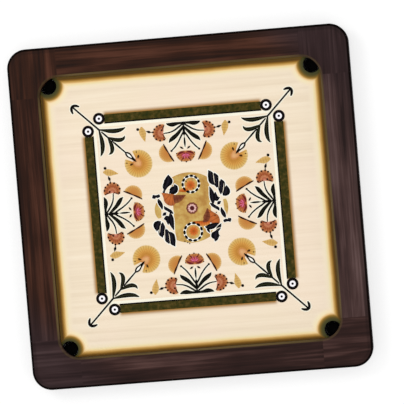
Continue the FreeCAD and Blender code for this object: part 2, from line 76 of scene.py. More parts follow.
class Paint:
    """A material under construction: its node tree, its shader and short ways to add nodes."""

    def __init__(self, name, roughness=0.5, specular=0.5, metallic=0.0):
        self.material = bpy.data.materials.new(name)
        self.material.use_nodes = True
        self.tree = self.material.node_tree
        self.shader = self.tree.nodes["Principled BSDF"]
        self.shader.inputs["Roughness"].default_value = roughness
        self.shader.inputs["Specular IOR Level"].default_value = specular
        self.shader.inputs["Metallic"].default_value = metallic
        self.coordinates = self.node("ShaderNodeTexCoord").outputs["Object"]
        self.axes = self.node("ShaderNodeSeparateXYZ", {0: self.coordinates}).outputs

    def feed(self, socket, value):
        """Link another node's output to a socket, or set it to a constant."""
        if isinstance(value, bpy.types.NodeSocket):
            self.tree.links.new(value, socket)
        else:
            socket.default_value = value

    def node(self, kind, inputs=None, **settings):
        made = self.tree.nodes.new(kind)
        for name, value in settings.items():
            setattr(made, name, value)
        for name, value in (inputs or {}).items():
            self.feed(made.inputs[name], value)
        return made

    def math(self, operation, first, second=0.0, clamp=False):
        made = self.node("ShaderNodeMath", {0: first, 1: second}, operation=operation, use_clamp=clamp)
        return made.outputs[0]

    def plus(self, first, second):
        return self.math("ADD", first, second)

    def minus(self, first, second):
        return self.math("SUBTRACT", first, second)

    def times(self, first, second):
        return self.math("MULTIPLY", first, second)

    def size(self, value):
        return self.math("ABSOLUTE", value)

    def length(self, x, y):
        """How long the arrow (x, y) is."""
        arrow = self.node("ShaderNodeCombineXYZ", {0: x, 1: y}).outputs[0]
        return self.node("ShaderNodeVectorMath", {0: arrow}, operation="LENGTH").outputs["Value"]

    def span(self, value, low, high):
        """0 at low, 1 at high, smooth between and level outside."""
        made = self.node("ShaderNodeMapRange", {"Value": value, "From Min": low, "From Max": high},
                         interpolation_type="SMOOTHSTEP")
        return made.outputs["Result"]

    def mix(self, factor, first, second, blend="MIX"):
        made = self.node("ShaderNodeMix", {"Factor": factor}, data_type="RGBA", blend_type=blend)
        for socket, value in (("A_Color", first), ("B_Color", second)):
            self.feed(next(item for item in made.inputs if item.identifier == socket), value)
        return next(item for item in made.outputs if item.identifier == "Result_Color")

    def ramp(self, value, stops):
        """A colour ramp through pairs of a place and a colour."""
        made = self.node("ShaderNodeValToRGB", {"Fac": value})
        elements = made.color_ramp.elements
        stops = list(stops)
        while len(elements) < len(stops):
            elements.new(0.5)
        for element, (place, colour) in zip(elements, stops):
            element.position = place
            element.color = colour
        return made.outputs["Color"]

    def noise(self, scale, shift=(0.0, 0.0, 0.0), turn=0.0, detail=4.0, roughness=0.5, distortion=0.0):
        """Noise over the object's coordinates, turned about Z, moved and scaled.

        A large scale packs the detail closer; it is one number, or three for X, Y and Z.
        """
        if not isinstance(scale, tuple):
            scale = (scale, scale, scale)
        vector = self.node("ShaderNodeVectorRotate", {"Vector": self.coordinates, "Angle": turn},
                           rotation_type="Z_AXIS").outputs[0]
        vector = self.node("ShaderNodeMapping", {"Vector": vector, "Location": shift,
                                                 "Scale": scale}).outputs[0]
        made = self.node("ShaderNodeTexNoise", {"Vector": vector, "Scale": 1.0, "Detail": detail,
                                                "Roughness": roughness, "Distortion": distortion})
        return made.outputs["Fac"]

    def attribute(self, name):
        return self.node("ShaderNodeAttribute", attribute_name=name).outputs["Fac"]

    def connect(self, name, value):
        self.tree.links.new(value, self.shader.inputs[name])

    def colour(self, value):
        self.connect("Base Color", value)

    def roughness(self, value, low, high):
        """Vary the roughness from low to high with a value of 0 to 1."""
        self.connect("Roughness", self.node("ShaderNodeMapRange", {"Value": value, "To Min": low,
                                                                   "To Max": high}).outputs["Result"])

    def bump(self, height, strength, distance):
        made = self.node("ShaderNodeBump", {"Height": height, "Strength": strength, "Distance": distance})
        self.connect("Normal", made.outputs[0])

    def rounded_square(self, half, radius):
        """Distance in millimetres outwards from a rounded square of this half side."""
        inner = (half - radius) * MM
        x = self.minus(self.size(self.axes[0]), inner)
        y = self.minus(self.size(self.axes[1]), inner)
        beyond = self.length(self.math("MAXIMUM", x, 0.0), self.math("MAXIMUM", y, 0.0))
        within = self.math("MINIMUM", self.math("MAXIMUM", x, y), 0.0)
        return self.math("DIVIDE", self.minus(self.plus(beyond, within), radius * MM), MM)


# ---------------------------------------------------------------- materials

GRAIN_STOPS = (0.38, 0.5, 0.63)
ASHEN = (srgb(32, 18, 19), srgb(47, 31, 32), srgb(66, 49, 50))
NEARLY_BLACK = srgb(6, 3, 2)


def stained_wood(name, tones, turn, seed):
    """Dark lacquered hardwood, greyer towards the back right and front left corners.

    The grain runs along X turned by an angle, and each piece has its own figure.
    """
    paint = Paint(name)
    shift = (seed * 3.7, seed * 1.9, seed * 0.7)
    figure = paint.noise((2.2, 48, 48), shift, turn, detail=3, distortion=0.8)
    streaks = paint.noise((5, 190, 190), shift, turn, detail=6, roughness=0.62)
    pores = paint.noise((30, 900, 900), shift, turn, detail=3, roughness=0.7)
    clouds = paint.noise((7, 10, 10), shift, turn, detail=2)
    grain = paint.plus(paint.times(figure, 0.5), paint.times(streaks, 0.28))
    grain = paint.plus(grain, paint.times(clouds, 0.22))
    colour = paint.ramp(grain, zip(GRAIN_STOPS, tones))
    greyed = paint.ramp(grain, zip(GRAIN_STOPS, ASHEN))
    diagonal = paint.size(paint.plus(paint.axes[0], paint.axes[1]))
    colour = paint.mix(paint.span(diagonal, 0.60, 0.76), colour, greyed)
    pore_mask = paint.span(pores, 0.60, 0.72)
    colour = paint.mix(paint.times(pore_mask, 0.4), colour, srgb(18, 10, 8))

    # painted highlight: the chamfered lip is painted pale where light catches it, less so towards the corners
    lip = paint.rounded_square(HALF_OPENING, CORNER_ROUND)
    high = paint.span(paint.axes[2], (FRAME_TOP - LIP - 0.6) * MM, (FRAME_TOP - LIP) * MM)
    on_lip = paint.times(paint.span(lip, LIP + 0.6, LIP - 1.4), high)
    along = paint.math("MINIMUM", paint.size(paint.axes[0]), paint.size(paint.axes[1]))
    lip_highlight_share = paint.span(along, (BLOCK_REACH + 20) * MM, (BLOCK_REACH - 45) * MM)
    lip_highlight_share = paint.plus(0.3, paint.times(lip_highlight_share, 0.6))
    lip_highlight_colour = paint.ramp(streaks, [(0.3, srgb(76, 62, 32)), (0.7, srgb(108, 90, 56))])
    colour = paint.mix(paint.times(on_lip, lip_highlight_share), colour, lip_highlight_colour)

    # painted shade: the rounded outer edge, turned from the light, is painted nearly black and made dull; the
    # top is also darker towards the outer edge
    inset = paint.times(paint.rounded_square(HALF_BOARD, CORNER_ROUND), -1.0)
    above = paint.span(paint.axes[2], (FRAME_TOP - 16) * MM, (FRAME_TOP - 8) * MM)
    rim = paint.times(paint.span(inset, 7.0, 5.2), above)
    edge_darkening_and_shade = paint.plus(paint.times(paint.span(inset, 17.0, 12.0), 0.3), paint.times(rim, 0.66))
    paint.colour(paint.mix(edge_darkening_and_shade, colour, NEARLY_BLACK))
    paint.connect("Specular IOR Level", paint.minus(0.10, paint.times(rim, 0.08)))
    paint.roughness(streaks, 0.34, 0.52)
    paint.bump(paint.minus(streaks, paint.times(pore_mask, 0.5)), 0.25, 0.0006)
    return paint.material


# painted shadow: the border is moved so that it reaches further in from the left and back rails, where the
# rails' shadow would fall
BORDER_SHADOW_SHIFT = (0.6, 2.2)
BORDER_WIDER = 1.3
BORDER_REACH = 40.0
# distance in millimetres and colour, from the rails inwards and from the pockets outwards
WALL_STOPS = ((0, 108, 80, 18), (3.5, 99, 66, 2), (6.5, 133, 91, 12), (9.5, 177, 130, 50),
              (13.5, 216, 172, 98), (17, 250, 218, 158), (24, 250, 233, 196), (BORDER_REACH, 244, 228, 204))
RING_STOPS = ((0, 62, 62, 24), (5, 70, 66, 24), (9, 96, 78, 22), (13, 140, 106, 34), (15.5, 182, 138, 66),
              (18.5, 234, 198, 138), (23, 250, 228, 186), (BORDER_REACH, 244, 228, 204))


def border_colour(paint, cream):
    """The painted border: brown against the rails and round the pockets, gold, then the bare veneer."""
    wobble = paint.times(paint.minus(paint.noise(9, detail=3), 0.5), 5.0)
    # painted shadow: the shift widens the border along the left and back rails
    x = paint.size(paint.minus(paint.axes[0], BORDER_SHADOW_SHIFT[0] * MM))
    y = paint.size(paint.plus(paint.axes[1], BORDER_SHADOW_SHIFT[1] * MM))
    walls = paint.minus(HALF_OPENING - BORDER_WIDER, paint.math("DIVIDE", paint.math("MAXIMUM", x, y), MM))
    x = paint.minus(paint.size(paint.axes[0]), POCKET * MM)
    y = paint.minus(paint.size(paint.axes[1]), POCKET * MM)
    rings = paint.minus(paint.math("DIVIDE", paint.length(x, y), MM), POCKET_RADIUS)
    # the front left pocket's ring is the narrowest
    diagonal = paint.plus(paint.axes[0], paint.axes[1])
    rings = paint.plus(rings, paint.times(paint.span(diagonal, -0.3, -0.5), 3.0))

    def shade(distance, stops):
        """How far along its reach the border is, and its colour there."""
        share = paint.math("DIVIDE", paint.plus(distance, wobble), BORDER_REACH, clamp=True)
        return share, paint.ramp(share, [(place / BORDER_REACH, srgb(*rgb)) for place, *rgb in stops])

    along_walls, beside_walls = shade(walls, WALL_STOPS)
    round_pockets, beside_pockets = shade(rings, RING_STOPS)
    painted = paint.mix(1.0, beside_walls, beside_pockets, blend="DARKEN")
    near = paint.math("MINIMUM", along_walls, round_pockets)
    return paint.mix(paint.span(near, 0.62, 1.0), painted, cream)


def band_fringe(paint):
    """How much gold shows outside each printed band: 1 at the band, fading outwards."""
    x = paint.math("DIVIDE", paint.size(paint.axes[0]), MM)
    y = paint.math("DIVIDE", paint.size(paint.axes[1]), MM)
    out = paint.math("MAXIMUM", x, y)
    along = paint.math("MINIMUM", x, y)
    fade = paint.times(paint.span(out, BAND_OUTER + BAND_FRINGE, BAND_OUTER),
                       paint.span(along, BAND_END + 6, BAND_END - 6))
    return paint.times(fade, paint.span(out, BAND_INNER - 0.8, BAND_INNER + 1.2))


def panel_finish():
    """Plywood: cream printed veneer above, plain birch below, and plies on the cut edges."""
    paint = Paint("panel_plywood_finish", specular=0.2)
    veneer = paint.noise((2.2, 75, 40), (3, 1, 0), detail=6, roughness=0.6, distortion=0.3)
    flecks = paint.noise((26, 700, 300), detail=3, roughness=0.65)
    clouds = paint.noise(5, detail=2)
    cream = paint.ramp(veneer, [(0.3, srgb(232, 214, 187)), (0.5, srgb(239, 222, 196)),
                                (0.7, srgb(244, 229, 205))])
    cream = paint.mix(paint.times(paint.span(clouds, 0.42, 0.64), 0.35), cream, srgb(243, 221, 202))
    cream = paint.mix(paint.times(paint.span(flecks, 0.60, 0.75), 0.25), cream, srgb(228, 204, 172))
    top = paint.mix(band_fringe(paint), border_colour(paint, cream), srgb(160, 112, 44))

    below_streaks = paint.noise((3, 55, 30), (7, 2, 0), detail=6, roughness=0.6, distortion=0.8)
    below = paint.ramp(below_streaks, [(0.3, srgb(176, 136, 92)), (0.5, srgb(203, 166, 120)),
                                       (0.7, srgb(216, 184, 142))])

    ply = paint.math("FRACT", paint.math("DIVIDE", paint.axes[2], PLY_PAIR * MM))
    stripes = paint.mix(paint.span(ply, 0.44, 0.56), srgb(120, 84, 52), srgb(190, 152, 106))
    fibres = paint.noise((300, 300, 60), detail=3)
    edges = paint.mix(paint.times(fibres, 0.5), stripes, srgb(110, 76, 46))
    # the pocket holes are blackened inside
    blackened = paint.span(paint.size(paint.axes[0]), (HALF_OPENING + 4) * MM, (HALF_OPENING + 2) * MM)
    edges = paint.mix(blackened, edges, srgb(16, 14, 12))

    normal = paint.node("ShaderNodeSeparateXYZ",
                        {0: paint.node("ShaderNodeTexCoord").outputs["Normal"]}).outputs[2]
    colour = paint.mix(paint.math("GREATER_THAN", normal, 0.5), edges, top)
    paint.colour(paint.mix(paint.math("LESS_THAN", normal, -0.5), colour, below))
    paint.roughness(veneer, 0.26, 0.36)
    paint.bump(veneer, 0.06, 0.0004)
    return paint.material


def plain_wood(name, tones, turn, seed):
    """Sawn unfinished wood with its grain along X turned by an angle."""
    paint = Paint(name, roughness=0.7, specular=0.3)
    shift = (seed, seed * 2, seed * 3)
    rings = paint.noise((1.5, 34, 34), shift, turn, detail=4, distortion=1.2)
    fibres = paint.noise((12, 420, 420), shift, turn, detail=5, roughness=0.65)
    grain = paint.plus(paint.times(rings, 0.65), paint.times(fibres, 0.35))
    paint.colour(paint.ramp(grain, zip((0.34, 0.5, 0.66), tones)))
    paint.bump(fibres, 0.35, 0.0006)
    return paint.material


def scaled(colour, factor):
    """A linear colour made darker or lighter."""
    return tuple(factor * part for part in colour[:3]) + (1.0,)


def plated_steel(name, colour, seed):
    paint = Paint(name, metallic=1.0)
    scratches = paint.noise(900, (seed, 0, 0), detail=3)
    paint.colour(paint.ramp(scratches, [(0.3, scaled(colour, 0.7)), (0.7, colour)]))
    paint.roughness(scratches, 0.22, 0.48)
    paint.bump(scratches, 0.15, 0.0001)
    return paint.material


def moulded_plastic():
    paint = Paint("ring_plastic_finish", specular=0.4)
    texture = paint.noise(1500, detail=2)
    paint.colour(paint.ramp(texture, [(0.3, srgb(17, 17, 18)), (0.7, srgb(28, 28, 30))]))
    paint.bump(texture, 0.3, 0.0001)
    return paint.material


def net_finish():
    """Black twisted nylon."""
    paint = Paint("net_cord_finish", roughness=0.7, specular=0.06)
    fibres = paint.noise(2600, detail=3, roughness=0.7)
    paint.colour(paint.ramp(fibres, [(0.3, srgb(3, 3, 3)), (0.7, srgb(12, 12, 13))]))
    paint.bump(fibres, 0.6, 0.0002)
    return paint.material


INK_ROUGHNESS = 0.36
INK_SPECULAR = 0.05


def ink(name, colour, speckle=0.12):
    """A flat printing ink with the slight mottle of a screen print."""
    paint = Paint(name, roughness=0.34, specular=INK_SPECULAR)
    mottle = paint.noise(420, roughness=0.6)
    darker = scaled(colour, 1 - speckle * 2.2)
    lighter = tuple(min(1.0, part * (1 + speckle) + speckle * 0.02) for part in colour[:3]) + (1.0,)
    paint.colour(paint.ramp(mottle, [(0.3, darker), (0.5, colour), (0.7, lighter)]))
    paint.bump(mottle, 0.08, 0.0001)
    return paint.material


def clouded_ink(name, scale, *tones):
    """An ink laid on unevenly, in clouds of three tones; a large scale makes them small."""
    paint = Paint(name, roughness=INK_ROUGHNESS, specular=INK_SPECULAR)
    clouds = paint.noise(scale, detail=6, roughness=0.65)
    paint.colour(paint.ramp(clouds, zip((0.36, 0.5, 0.64), tones)))
    paint.bump(clouds, 0.08, 0.0001)
    return paint.material


def outlined_ink(name, inside, outline, border):
    """An ink that is one colour along a shape's sides and another between them."""
    paint = Paint(name, roughness=INK_ROUGHNESS, specular=INK_SPECULAR)
    across = paint.size(paint.attribute("across"))
    mottle = paint.noise(500)
    rough_across = paint.plus(across, paint.times(paint.minus(mottle, 0.5), 0.5))
    core = paint.mix(mottle, scaled(inside, 0.7), inside)
    paint.colour(paint.mix(paint.span(rough_across, border - 0.12, border + 0.12), core, outline))
    return paint.material


def petal_ink(name, stops, petals, depth):
    """An ink that runs through stops of (place, red, green, blue), with petal lines round the flower.

    along goes round the flower from 0 to 1 and across goes from the heart at -1 to the rim at 1.
    """
    paint = Paint(name, roughness=INK_ROUGHNESS, specular=INK_SPECULAR)
    radius = paint.times(paint.plus(paint.attribute("across"), 1.0), 0.5)
    mottle = paint.noise(330, roughness=0.6)
    wander = paint.times(paint.minus(mottle, 0.5), 0.22)
    colour = paint.ramp(paint.plus(radius, wander), [(place, srgb(*rgb)) for place, *rgb in stops])
    turn = paint.times(paint.attribute("along"), petals * math.tau)
    wave = paint.size(paint.math("COSINE", paint.times(turn, 0.5)))
    line = paint.times(paint.span(wave, 0.55, 0.0), depth)
    paint.colour(paint.mix(line, colour, srgb(150, 84, 34), blend="MULTIPLY"))
    return paint.material


# ---------------------------------------------------------------- printed shapes

BAND_INNER = 236.8
BAND_LINE = 240.6
BAND_OUTER = 261.0
BAND_END = 206.0
BAND_MARGIN = 7.5
BAND_FRINGE = 12.5
BASE_CIRCLE = (219.6, 250.8)
BASE_RADIUS = 15.6
BASE_HOLE = 8.2
BASE_DOT = 3.2
CORNER_FLOWER = (125.5, 125.5)
CORNER_FLOWER_RADIUS = 36.5
# each layer of ink lies this much above the one below, and shapes in one ink at slightly
# different heights, so that no two faces share a plane
INK_STEP = 0.08
SHAPE_STEP = 0.002
SHAPE_LEVELS = 16


class Print:
    """Flat shapes in one ink, built together as one thin plate on the playing surface."""

    def __init__(self, name, material, layer):
        self.name = name
        self.material = material
        self.top = SURFACE + INK_STEP * layer
        self.mesh = bmesh.new()
        self.along = self.mesh.loops.layers.float.new("along")
        self.across = self.mesh.loops.layers.float.new("across")
        self.shapes = 0

    def grid(self, rows, closed=False):
        """Faces between rows of points in millimetres. along runs over the rows, across within them."""
        self.shapes += 1
        rise = SHAPE_STEP * (self.shapes % SHAPE_LEVELS) * MM
        made = [[self.mesh.verts.new((x * MM, y * MM, rise)) for x, y in row] for row in rows]
        count = len(rows)
        width = len(rows[0]) - 1
        last = count if closed else count - 1
        for i in range(last):
            for j in range(width):
                corners = ((i, j), (i, j + 1), (i + 1, j + 1), (i + 1, j))
                face = self.mesh.faces.new([made[a % count][b] for a, b in corners])
                for loop, (a, b) in zip(face.loops, corners):
                    loop[self.along] = a / last
                    loop[self.across] = 2 * b / width - 1
        points = [vertex for row in made for vertex in row]
        bmesh.ops.remove_doubles(self.mesh, verts=points, dist=0.004 * MM)

    def finish(self):
        bmesh.ops.dissolve_degenerate(self.mesh, edges=self.mesh.edges, dist=0.002 * MM)
        for face in self.mesh.faces:
            face.normal_update()
            if face.normal.z < 0:
                face.normal_flip()
        piece = add_mesh(self.name, self.mesh, self.material)
        piece.data.transform(Matrix.Translation((0, 0, self.top * MM)))
        solid = piece.modifiers.new("thickness", "SOLIDIFY")
        solid.thickness = (self.top - SURFACE - 0.01) * MM
        solid.offset = -1
        apply_modifiers(piece)
        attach(piece, "root")


def finish_all(*plates):
    for plate in plates:
        plate.finish()


def add_object(name, data):
    made = bpy.data.objects.new(name, data)
    bpy.context.scene.collection.objects.link(made)
    return made


def add_mesh(name, mesh, material):
    """An object from a mesh under construction, which is used up."""
    data = bpy.data.meshes.new(name)
    mesh.to_mesh(data)
    mesh.free()
    data.materials.append(material)
    return add_object(name, data)


def apply_modifiers(piece):
    evaluated = piece.evaluated_get(bpy.context.evaluated_depsgraph_get())
    data = bpy.data.meshes.new_from_object(evaluated)
    piece.modifiers.clear()
    piece.data = data


def smooth_path(points, steps=8):
    """Points on a smooth curve through the given ones (Catmull-Rom)."""
    ends = [2 * points[0] - points[1], *points, 2 * points[-1] - points[-2]]
    result = []
    for a, b, c, d in zip(ends, ends[1:], ends[2:], ends[3:]):
        for step in range(steps):
            t = step / steps
            result.append(0.5 * (2 * b + (c - a) * t + (2 * a - 5 * b + 4 * c - d) * t * t
                                 + (3 * b - a - 3 * c + d) * t ** 3))
    result.append(points[-1])
    return result


TIP_REACH = 1.8


def round_tip(path, grow):
    """The path of (x, y, half width) carried on past its end as a blunt round tip."""
    last = path[-1]
    ahead = (last - path[-2]).xy.normalized()
    reach = min(last.z, TIP_REACH) + grow
    tip = []
    for angle in (25, 50, 70, 86):
        turn = math.radians(angle)
        spot = last.xy + ahead * reach * math.sin(turn)
        tip.append(Vector((spot.x, spot.y, (last.z + grow) * math.cos(turn) - grow)))
    return path + tip


def blade(plate, spine, place, grow=0.0):
    """A brush mark along a spine of (x, y, half width), made wider all round by grow."""
    path = round_tip(smooth_path([Vector(point) for point in spine]), grow)
    path = round_tip(path[::-1], grow)
    rows = []
    for index, point in enumerate(path):
        ahead = (path[min(index + 1, len(path) - 1)] - path[max(index - 1, 0)]).xy.normalized()
        side = Vector((-ahead.y, ahead.x)) * max(point.z + grow, 0.03)
        rows.append([place(point.xy + side * across) for across in (-1, -0.5, 0, 0.5, 1)])
    plate.grid(rows)


def brush(plate, margin, spine, place, grow=2.6):
    """A blade of ink on a paler margin that stands out round it."""
    blade(plate, spine, place)
    blade(margin, spine, place, grow)


def patch(plate, heart, rim, place):
    """A petalled area from its heart to a smooth rim through points."""
    heart = Vector(heart)
    path = smooth_path([Vector(point) for point in rim], 6)
    plate.grid([[place(heart.lerp(point, step / 5)) for step in range(6)] for point in path])


def fan(plate, centre, radius, place, start=0, sweep=360, inner=0.0, scallop=0.0, petals=12, rays=90,
        rings=5):
    """A disc or part of one, with angles in degrees and so many rays to a full turn.

    inner is the share of the radius left open; scallop is how far the petals stand out at the rim.
    """
    whole = abs(sweep) >= 359.9
    count = int(rays * abs(sweep) / 360)
    rows = []
    for index in range(count if whole else count + 1):
        turn = math.radians(sweep * index / count)
        angle = math.radians(start) + turn
        edge = radius * (1 + scallop * math.cos(petals * turn))
        ray = Vector((math.cos(angle), math.sin(angle)))
        rows.append([place(Vector(centre) + ray * edge * (inner + (1 - inner) * step / rings))
                     for step in range(rings + 1)])
    plate.grid(rows, closed=whole)


def dot(plate, centre, radius, place):
    fan(plate, centre, radius, place, rays=28, rings=1)


def turned(quarter, mirrored=False):
    """A function that mirrors a point across the Y axis if asked, then turns it by quarter turns."""
    angle = math.radians(90 * quarter)
    cosine, sine = math.cos(angle), math.sin(angle)

    def place(point):
        x = -point[0] if mirrored else point[0]
        return (cosine * x - sine * point[1], sine * x + cosine * point[1])
    return place


def swapped(quarter, mirrored):
    """As turned, but mirroring across the diagonal of the back right quarter."""
    place = turned(quarter)

    def swap(point):
        return place((point[1], point[0]) if mirrored else point)
    return swap


BLACK_INK = srgb(5, 4, 3)
PALE_INK = srgb(246, 241, 222)
WHITE_INK = srgb(250, 248, 238)


def print_bands():
    """The four base bands: olive, with a thin black line along the inside and a pale one beside it."""
    olive = Print("print_bands", clouded_ink("ink_olive", 70, srgb(38, 44, 13), srgb(60, 54, 16),
                                             srgb(88, 72, 32)), 2)
    line = Print("print_band_lines", ink("ink_band_black", srgb(9, 8, 3)), 3)
    glow = Print("print_band_margins", ink("ink_band_pale", PALE_INK, 0.03), 1)
    for quarter in range(4):
        place = turned(quarter)
        for plate, low, high, reach in ((olive, BAND_INNER, BAND_OUTER, BAND_END),
                                        (line, BAND_INNER, BAND_LINE, BAND_END),
                                        (glow, BAND_INNER - BAND_MARGIN, BAND_INNER + 0.4, BAND_INNER - 1.0)):
            xs = [reach * (2 * step / 24 - 1) for step in range(25)]
            plate.grid([[place((x, low)), place((x, (low + high) / 2)), place((x, high))] for x in xs])
    finish_all(olive, line, glow)


def print_base_circles():
    """The circles at both ends of each band: a broad black ring on white, with a black dot in it."""
    black = Print("print_base_circles", ink("ink_circle_black", srgb(10, 4, 4)), 5)
    white = Print("print_base_circle_hearts", ink("ink_circle_white", srgb(250, 247, 250), 0.02), 4)
    for quarter in range(4):
        for place in (swapped(quarter, False), swapped(quarter, True)):
            dot(white, BASE_CIRCLE, BASE_RADIUS + 0.1, place)
            fan(black, BASE_CIRCLE, BASE_RADIUS, place, inner=BASE_HOLE / BASE_RADIUS)
            dot(black, BASE_CIRCLE, BASE_DOT, place)
    finish_all(black, white)


# brush marks as spines of (x, y, half width), in millimetres
ARROW_LINE = ([(288, 288, 2.2), (262, 262, 2.2), (240, 240, 2.3), (221, 221, 2.4)],
              [(215, 215, 1.7), (207, 207, 2.3), (199, 199, 2.1)],
              [(190, 190, 1.6), (178, 178, 2.4), (168, 168, 2.0), (157, 157, 1.8)])
SPRAY_LEAVES = ([(222, 222, 1.6), (210, 219.6, 3.2), (196, 216.8, 5.2), (181, 215.6, 5.8), (167, 217, 4.8),
                 (158, 220, 2.8), (152.5, 223, 0.6)],
                [(200, 200, 1.6), (190, 195.8, 3.8), (179, 192, 5.2), (169, 191, 5.4), (161.5, 193, 4.2),
                 (157.5, 196.8, 2.6), (155.5, 201, 0.6)])


def print_corner_sprays():
    """In each corner an arrow, two pairs of leaves, a bud and a notched round flower."""
    lines = Print("print_corner_lines", ink("ink_spray_black", BLACK_INK), 6)
    leaves = Print("print_corner_leaves", outlined_ink("ink_leaf", srgb(44, 46, 24), BLACK_INK, 0.3), 5)
    margins = Print("print_corner_margins", ink("ink_corner_pale", PALE_INK, 0.03), 2)
    whites = Print("print_corner_whites", ink("ink_corner_white", WHITE_INK, 0.02), 7)
    discs = Print("print_corner_flowers", petal_ink("ink_flower_gold", [
        (0.0, 228, 184, 122), (0.14, 218, 156, 88), (0.36, 192, 132, 56), (0.58, 210, 152, 72),
        (0.78, 213, 168, 88), (0.93, 214, 178, 106), (1.0, 230, 204, 152)], 26, 0.45), 3)
    hearts = Print("print_corner_flower_hearts", petal_ink("ink_flower_heart", [
        (0.0, 224, 176, 122), (0.7, 212, 152, 96), (1.0, 196, 128, 68)], 9, 0.15), 4)
    specks = Print("print_corner_specks", ink("ink_speck_brown", srgb(78, 46, 14), 0.2), 5)
    for quarter in range(4):
        middle = swapped(quarter, False)
        for spine in ARROW_LINE:
            brush(lines, margins, spine, middle)
        blade(lines, [(158, 158, 1.4), (154, 154, 5.0), (149, 149, 6.4), (142, 142, 4.2), (136, 136, 3.0),
                      (131.5, 131.5, 1.2)], middle)
        blade(whites, [(154, 154, 0.5), (150, 150, 2.4), (146, 146, 2.0), (142, 142, 0.4)], middle)
        fan(discs, CORNER_FLOWER, CORNER_FLOWER_RADIUS, middle, start=67, sweep=316)
        patch(hearts, (125, 125), [(126, 142), (136, 136), (142, 126), (134, 119), (125, 117), (118, 120),
                                   (117, 127), (120, 135), (126, 142)], middle)
        for place in (swapped(quarter, False), swapped(quarter, True)):
            brush(lines, margins, [(288.5, 287, 3.0), (283.5, 289.4, 3.5), (276.5, 289.2, 3.3),
                                   (270, 287, 2.1)], place)
            for spine in SPRAY_LEAVES:
                brush(leaves, margins, spine, place)
            blade(specks, [(122.5, 148, 0.6), (124.3, 144.5, 2.9), (126, 139.5, 1.0)], place)
            dot(specks, (129, 156), 1.7, place)
    finish_all(lines, leaves, margins, whites, discs, hearts, specks)


PLANT_STEMS = ([(2, 219.5, 2.0), (13, 212, 2.3), (24, 204.8, 2.1), (37, 200, 1.7), (52, 198.4, 1.3)],
               [(1, 199, 2.1), (8, 188, 2.2), (15, 176, 1.9), (25, 162.5, 1.8), (35, 152.6, 1.6)])
PLANT_LEAVES = ([(0, 222.6, 2.8), (12, 222, 3.2), (20, 221, 4.6), (28, 219.8, 5.6), (36, 220.4, 4.4),
                 (41, 222, 2.8), (44.5, 223.4, 0.8)],
                [(1, 212, 2.6), (10, 202, 3.8), (19, 192.5, 4.8), (28, 185.6, 5.6), (36, 179.6, 4.4),
                 (41, 173.5, 0.8)])
PLANT_FLOWER = ((50.5, 222), (56, 223.5), (64, 222.5), (71, 219), (77.5, 211.5), (81.5, 204), (81.5, 195),
                (77.5, 186), (71, 180.5), (62, 178), (50, 181.5))
PLANT_ROSE = ((0, 149.5), (10, 149.3), (19, 147), (25, 141.5), (23, 133), (16, 124.5), (8, 121.4),
              (0, 120.6))
PLANT_DOTS = ((61.5, 220.6), (69.6, 217.7), (76.6, 211), (81, 203.7), (79.4, 193.6), (73.7, 185),
              (64, 180.4), (53, 182.4), (57.6, 207.4))


